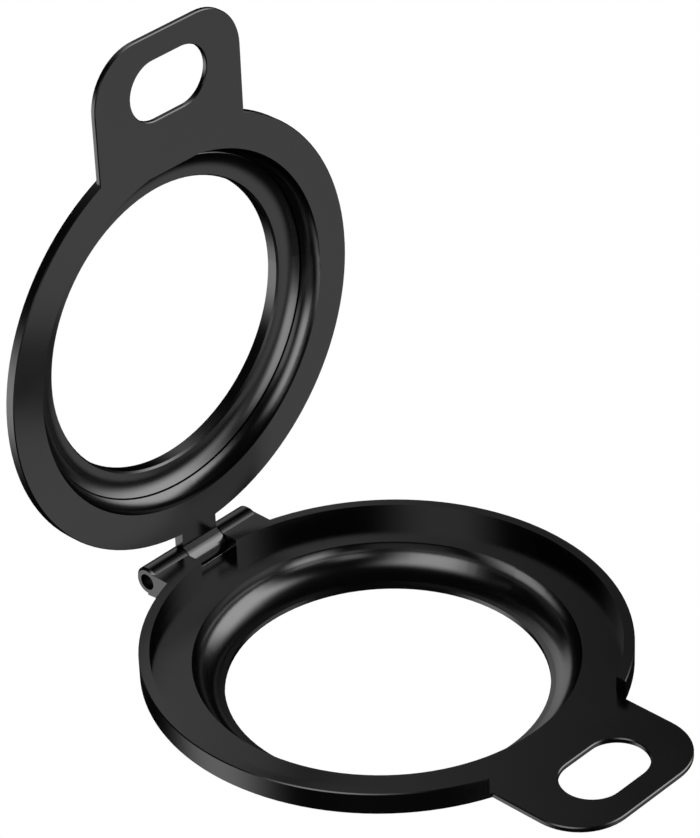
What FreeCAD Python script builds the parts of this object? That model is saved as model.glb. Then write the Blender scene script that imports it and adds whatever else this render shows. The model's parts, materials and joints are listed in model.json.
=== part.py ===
import FreeCAD, Part
import os
from collections import namedtuple
from math import cos, radians, sin, sqrt, tan

# A hinged clamshell holder for a coin-shaped tag: two dished metal rings, each with a
# round window and a slotted tab, joined by a three-knuckle hinge on one plain pin.
#
# Millimetres. The origin is on the axis of the base pocket, in the plane of the ledge
# that the tab continues. +Z points out of the base pocket, the tabs lie towards -Y and
# the hinge pin lies along X on the +Y side. At rest the cover stands open.

# The tag and the pocket it drops into, the same in both halves
TAG_DIAMETER = 31.9
POCKET_CLEARANCE = 0.15

# Base ring: a thin plate with a low rim round its edge
LEDGE_WIDTH = 3.4
RIM_WALL = 0.9
RIM_HEIGHT = 1.5
PLATE_THICKNESS = 0.5

# Base bowl: a short straight wall at the mouth, then a hollow curve to the window
BASE_MOUTH_WALL = 0.15
BASE_WINDOW_RADIUS = 13.5
BASE_DEPTH = 3.12
BASE_LIP_THICKNESS = 0.42
BASE_LIP_SLOPE = 8.0
FOOT_WIDTH = 0.8
BOWL_WALL = 0.6

# Cover ring: it lies inside the base rim when closed
COVER_CLEARANCE = 0.25
CLOSED_GAP = 0.3
COVER_PLATE_THICKNESS = 0.93

# Cover bowl: two hollow curves with a fine groove between them, then a deep window wall
COVER_GROOVE_INSET = 0.85
COVER_GROOVE_DEPTH = 1.53
COVER_GROOVE_HALF_WIDTH = 0.06
COVER_GROOVE_CUT = 0.12
COVER_WINDOW_RADIUS = 13.04
COVER_LIP_DEPTH = 2.12
COVER_DEPTH = 3.31
COVER_LIP_WIDTH = 1.1
COVER_LIP_BREAK = 0.15
UPPER_CURVE_BULGE = 0.12
LOWER_CURVE_BULGE = 0.08
OUTER_CURVE_BULGE = 0.2

# Tabs: the same outline on both halves
TAB_WIDTH = 16.2
TAB_PROJECTION = 7.95
TAB_CORNER_RADIUS = 4.7
TAB_THICKNESS = 0.5
TAB_SIDE_CLEARANCE = 0.2
SLOT_LENGTH = 8.45
SLOT_WIDTH = 5.3
SLOT_MARGIN = 2.3

# Hinge
HINGE_RISE = 0.5
KNUCKLE_RADIUS = 1.325
HINGE_SPAN = 12.4
NECK_WIDTH = 4.0
KNUCKLE_GAP = 0.1
HINGE_CLEARANCE = 0.125
RAMP_SLOPE = 30.0
SILL_GAP = 0.16
PIN_RADIUS = 0.75
PIN_RUNNING_CLEARANCE = 0.05
PIN_RECESS = 1.0
PIN_CHAMFER = 0.15
REST_OPENING = 90.0

# Broken edges
EDGE_BREAK = 0.08
KNUCKLE_EDGE_BREAK = 0.2

# Worked out from the sizes above
POCKET_RADIUS = TAG_DIAMETER / 2 + POCKET_CLEARANCE
RIM_INNER_RADIUS = POCKET_RADIUS + LEDGE_WIDTH
OUTER_RADIUS = RIM_INNER_RADIUS + RIM_WALL
COVER_RADIUS = RIM_INNER_RADIUS - COVER_CLEARANCE
TAB_END = OUTER_RADIUS + TAB_PROJECTION
SLOT_CENTRE = TAB_END - SLOT_MARGIN - SLOT_WIDTH / 2
HINGE_Y = OUTER_RADIUS + KNUCKLE_RADIUS + HINGE_CLEARANCE
NOTCH_HALF_WIDTH = NECK_WIDTH / 2 + KNUCKLE_GAP
SILL_Y = HINGE_Y - sqrt((KNUCKLE_RADIUS + SILL_GAP) ** 2 - HINGE_RISE**2)

X_AXIS = FreeCAD.Vector(1, 0, 0)
Z_AXIS = FreeCAD.Vector(0, 0, 1)
ORIGIN = FreeCAD.Vector(0, 0, 0)
HINGE_POINT = FreeCAD.Vector(0, HINGE_Y, HINGE_RISE)

# A corner of a turned profile. It may be cut by a chamfer or rounded by a fillet, and the
# run to the next corner bows to its left by bulge times its length.
Corner = namedtuple("Corner", "radius height chamfer fillet bulge", defaults=(0, 0, 0))


def corner_ends(before, corner, after, chamfer, fillet):
    """The points where a corner's chamfer or fillet starts, peaks and ends."""
    inward = (before - corner).normalize()
    outward = (after - corner).normalize()
    half_angle = inward.getAngle(outward) / 2
    setback = chamfer or fillet / tan(half_angle)
    peak = corner + (inward + outward).normalize() * (fillet / sin(half_angle) - fillet)
    return corner + inward * setback, peak, corner + outward * setback


def bowed(start, end, bulge):
    """A straight edge, or an arc that bows to the left of its chord."""
    if not bulge:
        return Part.makeLine(start, end)
    chord = end - start
    left = FreeCAD.Vector(-chord.z, 0, chord.x)
    return Part.Arc(start, (start + end) * 0.5 + left * bulge, end).toShape()


def turned(corners):
    """A solid of revolution about Z from the corners of its profile, in order."""
    points = [FreeCAD.Vector(corner.radius, 0, corner.height) for corner in corners]
    ends = []
    for index, corner in enumerate(corners):
        after = points[(index + 1) % len(points)]
        ends.append(corner_ends(points[index - 1], points[index], after, corner.chamfer, corner.fillet))
    edges = []
    for index, corner in enumerate(corners):
        start, peak, end = ends[index]
        if corner.chamfer:
            edges.append(Part.makeLine(start, end))
        if corner.fillet:
            edges.append(Part.Arc(start, peak, end).toShape())
        edges.append(bowed(end, ends[(index + 1) % len(ends)][0], corner.bulge))
    return Part.Face(Part.Wire(edges)).revolve(ORIGIN, Z_AXIS, 360)


def box(low, high):
    size = [high[i] - low[i] for i in range(3)]
    return Part.makeBox(*size, FreeCAD.Vector(*low))


def base_ring():
    """The plate, rim and bowl of the base, turned as one."""
    bottom = -PLATE_THICKNESS
    lip = -BASE_DEPTH + BASE_LIP_THICKNESS
    bowl_corner = lip + (POCKET_RADIUS - BASE_WINDOW_RADIUS) * tan(radians(BASE_LIP_SLOPE))
    bowl_fillet = (-bowl_corner - BASE_MOUTH_WALL) * tan(radians(90 + BASE_LIP_SLOPE) / 2)
    return turned(
        [
            Corner(OUTER_RADIUS, bottom, chamfer=EDGE_BREAK),
            Corner(OUTER_RADIUS, RIM_HEIGHT, chamfer=EDGE_BREAK),
            Corner(RIM_INNER_RADIUS, RIM_HEIGHT),
            Corner(RIM_INNER_RADIUS, 0),
            Corner(POCKET_RADIUS, 0),
            Corner(POCKET_RADIUS, bowl_corner, fillet=bowl_fillet),
            Corner(BASE_WINDOW_RADIUS, lip),
            Corner(BASE_WINDOW_RADIUS, -BASE_DEPTH),
            Corner(BASE_WINDOW_RADIUS + FOOT_WIDTH, -BASE_DEPTH, bulge=-OUTER_CURVE_BULGE),
            Corner(POCKET_RADIUS + BOWL_WALL, bottom),
        ]
    )


def cover_ring():
    """The plate and bowl of the cover, closed: its inner face is at height 0, facing down."""
    groove_radius = POCKET_RADIUS - COVER_GROOVE_INSET
    return turned(
        [
            Corner(COVER_RADIUS, 0, chamfer=EDGE_BREAK),
            Corner(COVER_RADIUS, COVER_PLATE_THICKNESS, chamfer=EDGE_BREAK),
            Corner(POCKET_RADIUS + BOWL_WALL, COVER_PLATE_THICKNESS, bulge=-OUTER_CURVE_BULGE),
            Corner(COVER_WINDOW_RADIUS + COVER_LIP_WIDTH, COVER_DEPTH),
            Corner(COVER_WINDOW_RADIUS, COVER_DEPTH, chamfer=EDGE_BREAK),
            Corner(COVER_WINDOW_RADIUS, COVER_LIP_DEPTH, chamfer=COVER_LIP_BREAK, bulge=LOWER_CURVE_BULGE),
            Corner(groove_radius - COVER_GROOVE_HALF_WIDTH, COVER_GROOVE_DEPTH + COVER_GROOVE_HALF_WIDTH),
            Corner(groove_radius + COVER_GROOVE_CUT, COVER_GROOVE_DEPTH + COVER_GROOVE_CUT),
            Corner(
                groove_radius + COVER_GROOVE_HALF_WIDTH,
                COVER_GROOVE_DEPTH - COVER_GROOVE_HALF_WIDTH,
                bulge=UPPER_CURVE_BULGE,
            ),
            Corner(POCKET_RADIUS, 0),
        ]
    )


def tab(bottom, root_radius):
    """A slotted tab towards -Y, whose root runs into the ring as far as root_radius."""
    half_width = TAB_WIDTH / 2
    corner_x = half_width - TAB_CORNER_RADIUS
    corner_y = TAB_END - TAB_CORNER_RADIUS
    diagonal = TAB_CORNER_RADIUS * cos(radians(45))
    root_y = sqrt(root_radius**2 - half_width**2)
    half_slot = SLOT_WIDTH / 2
    end_x = (SLOT_LENGTH - SLOT_WIDTH) / 2
    near_y = SLOT_CENTRE - half_slot
    far_y = SLOT_CENTRE + half_slot

    def at(x, y):
        return FreeCAD.Vector(x, -y, bottom)

    def round_end(side):
        middle = at(side * (end_x + half_slot), SLOT_CENTRE)
        return Part.Arc(at(side * end_x, near_y), middle, at(side * end_x, far_y)).toShape()

    def round_corner(side):
        middle = at(side * (corner_x + diagonal), corner_y + diagonal)
        return Part.Arc(at(side * corner_x, TAB_END), middle, at(side * half_width, corner_y)).toShape()

    outline = [
        Part.makeLine(at(-corner_x, TAB_END), at(corner_x, TAB_END)),
        round_corner(1),
        Part.makeLine(at(half_width, corner_y), at(half_width, root_y)),
        Part.makeLine(at(half_width, root_y), at(-half_width, root_y)),
        Part.makeLine(at(-half_width, root_y), at(-half_width, corner_y)),
        round_corner(-1),
    ]
    slot = [
        Part.makeLine(at(-end_x, near_y), at(end_x, near_y)),
        round_end(1),
        Part.makeLine(at(end_x, far_y), at(-end_x, far_y)),
        round_end(-1),
    ]
    up = Z_AXIS * TAB_THICKNESS
    plate = Part.Face(Part.Wire(outline)).extrude(up).cut(Part.Face(Part.Wire(slot)).extrude(up))
    rims = [edge for edge in plate.Edges
            if edge.BoundBox.ZLength < EDGE_BREAK and -edge.BoundBox.YMin > root_y + EDGE_BREAK]
    return plate.makeChamfer(EDGE_BREAK, rims)


def outer_knuckle(side):
    """One base knuckle, on the side given as -1 or 1, with the web, level with the rim, that carries it."""
    length = HINGE_SPAN / 2 - NOTCH_HALF_WIDTH
    inner_end = HINGE_POINT + X_AXIS * (side * NOTCH_HALF_WIDTH)
    outward = X_AXIS * side
    barrel = Part.makeCylinder(KNUCKLE_RADIUS, length, inner_end, outward)
    end_x = side * HINGE_SPAN / 2
    end_edges = [edge for edge in barrel.Edges
                 if abs(edge.CenterOfMass.x - end_x) < EDGE_BREAK and edge.BoundBox.XLength < EDGE_BREAK]
    barrel = barrel.makeChamfer(KNUCKLE_EDGE_BREAK, end_edges)

    root_y = RIM_INNER_RADIUS - RIM_WALL
    outline = Part.makePolygon(
        [
            FreeCAD.Vector(inner_end.x, y, z)
            for y, z in [
                (HINGE_Y, RIM_HEIGHT),
                (root_y, RIM_HEIGHT),
                (root_y, -PLATE_THICKNESS),
                (HINGE_Y, HINGE_RISE - KNUCKLE_RADIUS),
                (HINGE_Y, RIM_HEIGHT),
            ]
        ]
    )
    web = Part.Face(outline).extrude(outward * length)
    height = 4 * KNUCKLE_RADIUS
    inside = Part.makeCylinder(OUTER_RADIUS - RIM_WALL / 2, height, HINGE_POINT - Z_AXIS * (height / 2))
    inside.translate(FreeCAD.Vector(0, -HINGE_Y, 0))
    return barrel.fuse(web.cut(inside))


def base_frame():
    """Ring, rim, bowl, tab and the two outer knuckles, all one piece."""
    far = 2 * OUTER_RADIUS
    tab_gap = TAB_WIDTH / 2 + TAB_SIDE_CLEARANCE
    ring = base_ring()
    ring = ring.cut(box((-tab_gap, -far, 0), (tab_gap, 0, RIM_HEIGHT)))
    ring = ring.cut(box((-NOTCH_HALF_WIDTH, 0, 0), (NOTCH_HALF_WIDTH, far, RIM_HEIGHT)))
    sill = box((-NOTCH_HALF_WIDTH, RIM_INNER_RADIUS, -PLATE_THICKNESS), (NOTCH_HALF_WIDTH, SILL_Y, 0))
    frame = ring.fuse([sill, tab(-TAB_THICKNESS, RIM_INNER_RADIUS), outer_knuckle(-1), outer_knuckle(1)])
    bore = Part.makeCylinder(PIN_RADIUS, HINGE_SPAN, HINGE_POINT - X_AXIS * (HINGE_SPAN / 2), X_AXIS)
    return frame.cut(bore).removeSplitter()


def neck_ramp(axle_height):
    """The slope by which the inner face of the neck runs down on to the middle knuckle."""
    slope = radians(RAMP_SLOPE)
    touch_y = HINGE_Y - KNUCKLE_RADIUS * cos(slope)
    touch_z = axle_height - KNUCKLE_RADIUS * sin(slope)
    touch = (touch_y, touch_z)
    corners = [touch, (touch_y + touch_z * tan(slope), 0), (HINGE_Y, axle_height), touch]
    outline = Part.makePolygon([FreeCAD.Vector(-NECK_WIDTH / 2, y, z) for y, z in corners])
    return Part.Face(outline).extrude(X_AXIS * NECK_WIDTH)


def cover_frame():
    """Ring, bowl, tab, neck and middle knuckle, all one piece, swung open to rest."""
    half_neck = NECK_WIDTH / 2
    neck_root = COVER_RADIUS - COVER_PLATE_THICKNESS
    neck = box((-half_neck, neck_root, 0), (half_neck, HINGE_Y, COVER_PLATE_THICKNESS))
    axle_start = FreeCAD.Vector(-half_neck, HINGE_Y, HINGE_RISE - CLOSED_GAP)
    knuckle = Part.makeCylinder(KNUCKLE_RADIUS, NECK_WIDTH, axle_start, X_AXIS)
    bore = Part.makeCylinder(PIN_RADIUS + PIN_RUNNING_CLEARANCE, NECK_WIDTH, axle_start, X_AXIS)
    tab_root = RIM_INNER_RADIUS - LEDGE_WIDTH / 2
    frame = cover_ring().fuse([tab(0, tab_root), neck, knuckle, neck_ramp(axle_start.z)])
    frame = frame.cut(bore).removeSplitter()
    return frame.translated(Z_AXIS * CLOSED_GAP).rotated(HINGE_POINT, X_AXIS, -REST_OPENING)


def hinge_pin():
    """A plain steel pin, held by the outer knuckles and set in from both their ends."""
    length = HINGE_SPAN - 2 * PIN_RECESS
    pin = Part.makeCylinder(PIN_RADIUS, length, HINGE_POINT - X_AXIS * (length / 2), X_AXIS)
    return pin.makeChamfer(PIN_CHAMFER, [edge for edge in pin.Edges if edge.BoundBox.XLength < PIN_CHAMFER])


PIECES = {
    "base_frame": base_frame,
    "cover_frame": cover_frame,
    "hinge_pin": hinge_pin,
}

os.makedirs("parts", exist_ok=True)
for name, make in PIECES.items():
    shape = make()
    print(name, len(shape.Solids), "solid,", round(shape.Volume, 3), "mm3, valid:", shape.isValid())
    shape.exportStep(os.path.join("parts", name + ".step"))
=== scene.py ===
"""A hinged tag holder in black metal, standing open on a white studio floor."""
import json
from math import cos, radians, sin

import bpy
from mathutils import Matrix, Vector

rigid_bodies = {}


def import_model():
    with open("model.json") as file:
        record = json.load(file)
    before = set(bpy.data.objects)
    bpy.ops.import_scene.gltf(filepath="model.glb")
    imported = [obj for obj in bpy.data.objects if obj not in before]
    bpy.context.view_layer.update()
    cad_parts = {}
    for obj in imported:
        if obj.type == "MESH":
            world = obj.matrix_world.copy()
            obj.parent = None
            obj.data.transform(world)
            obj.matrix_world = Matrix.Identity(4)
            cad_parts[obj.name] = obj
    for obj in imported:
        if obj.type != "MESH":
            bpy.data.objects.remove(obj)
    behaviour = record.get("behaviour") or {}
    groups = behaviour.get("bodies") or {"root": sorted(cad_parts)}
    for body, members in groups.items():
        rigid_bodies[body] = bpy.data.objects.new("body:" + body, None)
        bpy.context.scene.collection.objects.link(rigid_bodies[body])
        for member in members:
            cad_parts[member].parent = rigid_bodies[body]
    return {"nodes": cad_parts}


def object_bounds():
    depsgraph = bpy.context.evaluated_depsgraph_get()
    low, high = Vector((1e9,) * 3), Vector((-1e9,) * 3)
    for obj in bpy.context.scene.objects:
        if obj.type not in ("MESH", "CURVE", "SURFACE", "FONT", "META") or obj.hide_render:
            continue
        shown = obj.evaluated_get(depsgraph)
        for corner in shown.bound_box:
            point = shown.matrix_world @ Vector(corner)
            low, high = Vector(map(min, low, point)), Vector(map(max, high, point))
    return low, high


for leftover in list(bpy.data.objects):
    bpy.data.objects.remove(leftover)
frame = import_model()
cad_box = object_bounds()

# Camera: a long lens at the height and side that the object is best seen from
VIEW_AZIMUTH = -45.58
VIEW_ELEVATION = 33.08
VIEW_ROLL = -2.37
VIEW_DISTANCE = 0.3090
VIEW_SIDE_STEP = -0.00344
LENS_MM = 168.4

# Studio: soft light panels far away, each centred at an azimuth (0 is +Y, 90 is +X) and an
# elevation, with half its width and height, the width of its soft edge, and its brightness
PANELS = {
    "right_key": (130, 21, 25, 27, 22, 2.66),
    "right_low": (137, -33, 24, 12, 14, 0.45),
    "left_key": (-104, 26, 18, 28, 24, 2.2),
    "left_low": (-120, -20, 22, 8, 12, 0.16),
    "back": (20, 22, 17, 20, 22, 1.33),
    "left_edge": (-46, -22, 19, 20, 30, 1.6),
    "front": (-176, -8, 11, 14, 12, 2.2),
    "front_left": (-152, 5, 8, 14, 12, 0.9),
}
BACKGROUND_GLOW = 0.01

# Floor: half its side, and how far it lies below the object, both in metres
FLOOR_HALF_SIZE = 3.0
FLOOR_DROP = 0.00005

# Metal: sizes of the noises per metre, and how far the cloud noise moves shade and roughness
CLOUD_SCALE = 140.0
TOOTH_SCALE = 9000.0
TOOTH_HEIGHT = 0.00001
TOOTH_STRENGTH = 0.05
SHADE_SPREAD = 0.04
ROUGHNESS_SPREAD = 0.1
EDGE_TINT = 0.4


def add_camera():
    """The camera looks at the middle of the object's box, a little to one side."""
    centre = (cad_box[0] + cad_box[1]) / 2
    turn = (
        Matrix.Rotation(radians(VIEW_AZIMUTH), 4, "Z")
        @ Matrix.Rotation(radians(90 - VIEW_ELEVATION), 4, "X")
        @ Matrix.Rotation(radians(VIEW_ROLL), 4, "Z")
    )
    camera = bpy.data.objects.new("camera", bpy.data.cameras.new("camera"))
    camera.data.lens = LENS_MM
    camera.data.clip_start = 0.01
    step = turn.to_3x3() @ Vector((VIEW_SIDE_STEP, 0, VIEW_DISTANCE))
    camera.matrix_world = Matrix.Translation(centre + step) @ turn
    bpy.context.scene.collection.objects.link(camera)
    bpy.context.scene.camera = camera


class Nodes:
    """Short calls for building a node tree."""

    def __init__(self, tree):
        self.tree = tree

    def add(self, kind, inputs=(), **settings):
        node = self.tree.nodes.new(kind)
        for name, value in settings.items():
            setattr(node, name, value)
        for socket, value in dict(inputs).items():
            if isinstance(value, bpy.types.NodeSocket):
                self.tree.links.new(value, node.inputs[socket])
            else:
                node.inputs[socket].default_value = value
        return node

    def math(self, operation, *values):
        return self.add("ShaderNodeMath", enumerate(values), operation=operation).outputs[0]

    def dot(self, vector, direction):
        inputs = {0: vector, 1: direction}
        return self.add("ShaderNodeVectorMath", inputs, operation="DOT_PRODUCT").outputs["Value"]

    def noise(self, place, scale, detail):
        inputs = {"Vector": place, "Scale": scale, "Detail": detail}
        return self.add("ShaderNodeTexNoise", inputs).outputs["Fac"]

    def smooth(self, value, low, high, to_low, to_high):
        """The value's place between low and high, eased, and laid from to_low to to_high."""
        inputs = {0: value, 1: low, 2: high, 3: to_low, 4: to_high}
        return self.add("ShaderNodeMapRange", inputs, interpolation_type="SMOOTHSTEP").outputs[0]

    def edge(self, value, angle, softness):
        """1 inside the angle and 0 outside it, with a soft step between."""
        low, high = sin(radians(angle - softness / 2)), sin(radians(angle + softness / 2))
        return self.smooth(value, low, high, 1, 0)


def add_studio():
    """The world holds the light panels. Straight at the camera it is plain white."""
    world = bpy.data.worlds.new("studio")
    world.use_nodes = True
    bpy.context.scene.world = world
    world.node_tree.nodes.clear()
    nodes = Nodes(world.node_tree)
    ray = nodes.add("ShaderNodeTexCoord").outputs["Generated"]
    total = None
    for azimuth, elevation, half_width, half_height, edge, brightness in PANELS.values():
        turn, tilt = radians(azimuth), radians(elevation)
        forward = (sin(turn) * cos(tilt), cos(turn) * cos(tilt), sin(tilt))
        right = (cos(turn), -sin(turn), 0)
        up = (-sin(turn) * sin(tilt), -cos(turn) * sin(tilt), cos(tilt))
        across = nodes.math("ABSOLUTE", nodes.dot(ray, right))
        along = nodes.math("ABSOLUTE", nodes.dot(ray, up))
        # Nothing behind the viewer: the two edges alone would also match the opposite side
        ahead = nodes.smooth(nodes.dot(ray, forward), 0, 0.3, 0, brightness)
        wide = nodes.edge(across, half_width, edge)
        high = nodes.edge(along, half_height, edge)
        panel = nodes.math("MULTIPLY", nodes.math("MULTIPLY", wide, high), ahead)
        total = panel if total is None else nodes.math("ADD", total, panel)
    total = nodes.math("ADD", total, BACKGROUND_GLOW)
    lights = nodes.add("ShaderNodeBackground", {"Color": (1, 1, 1, 1), "Strength": total})
    white = nodes.add("ShaderNodeBackground", {"Color": (1, 1, 1, 1), "Strength": 1.0})
    seen = nodes.add("ShaderNodeLightPath").outputs["Is Camera Ray"]
    mix = nodes.add("ShaderNodeMixShader", {0: seen, 1: lights.outputs[0], 2: white.outputs[0]})
    nodes.add("ShaderNodeOutputWorld", {"Surface": mix.outputs[0]})


def add_floor():
    """A white floor that glows evenly, as a lit light table does, and leaves no shadow."""
    low = cad_box[0].z - FLOOR_DROP
    sides = ((-1, -1), (1, -1), (1, 1), (-1, 1))
    corners = [(x * FLOOR_HALF_SIZE, y * FLOOR_HALF_SIZE, low) for x, y in sides]
    mesh = bpy.data.meshes.new("floor")
    mesh.from_pydata(corners, [], [(0, 1, 2, 3)])
    floor = bpy.data.objects.new("floor", mesh)
    bpy.context.scene.collection.objects.link(floor)
    material = bpy.data.materials.new("floor_white")
    material.use_nodes = True
    material.node_tree.nodes.clear()
    nodes = Nodes(material.node_tree)
    glow = nodes.add("ShaderNodeEmission", {"Color": (1, 1, 1, 1), "Strength": 1.0})
    nodes.add("ShaderNodeOutputMaterial", {"Surface": glow.outputs[0]})
    mesh.materials.append(material)
    floor.visible_glossy = False
    floor.visible_diffuse = False
    floor.visible_shadow = False


def black_metal(name, shade, roughness):
    """Dark satin metal, slightly cloudy, with a very fine tooth and edges that stay dark."""
    material = bpy.data.materials.new(name)
    material.use_nodes = True
    material.node_tree.nodes.clear()
    nodes = Nodes(material.node_tree)
    place = nodes.add("ShaderNodeTexCoord").outputs["Object"]
    cloud = nodes.noise(place, CLOUD_SCALE, 3.0)
    tooth = nodes.noise(place, TOOTH_SCALE, 2.0)
    dark = (shade * (1 - SHADE_SPREAD),) * 3 + (1,)
    light = (shade * (1 + SHADE_SPREAD),) * 3 + (1,)
    colour = nodes.add("ShaderNodeMix", {0: cloud, 6: dark, 7: light}, data_type="RGBA")
    low, high = roughness * (1 - ROUGHNESS_SPREAD), roughness * (1 + ROUGHNESS_SPREAD)
    gloss = nodes.smooth(cloud, 0.3, 0.7, low, high)
    bump_inputs = {"Height": tooth, "Strength": TOOTH_STRENGTH, "Distance": TOOTH_HEIGHT}
    bump = nodes.add("ShaderNodeBump", bump_inputs)
    metal_inputs = {
        "Base Color": colour.outputs[2],
        "Roughness": gloss,
        "Metallic": 1.0,
        "Specular Tint": (EDGE_TINT,) * 3 + (1,),
        "Normal": bump.outputs[0],
    }
    metal = nodes.add("ShaderNodeBsdfPrincipled", metal_inputs)
    nodes.add("ShaderNodeOutputMaterial", {"Surface": metal.outputs[0]})
    return material


def dress(node, material):
    """Give a CAD node its material."""
    for slot in frame["nodes"][node].material_slots:
        slot.material = material


add_camera()
add_studio()
add_floor()
coat = black_metal("black_coat", 0.115, 0.2)
dress("base_frame", coat)
dress("cover_frame", coat)
dress("hinge_pin", black_metal("pin_steel", 0.2, 0.3))
bpy.context.scene.view_settings.view_transform = "Standard"
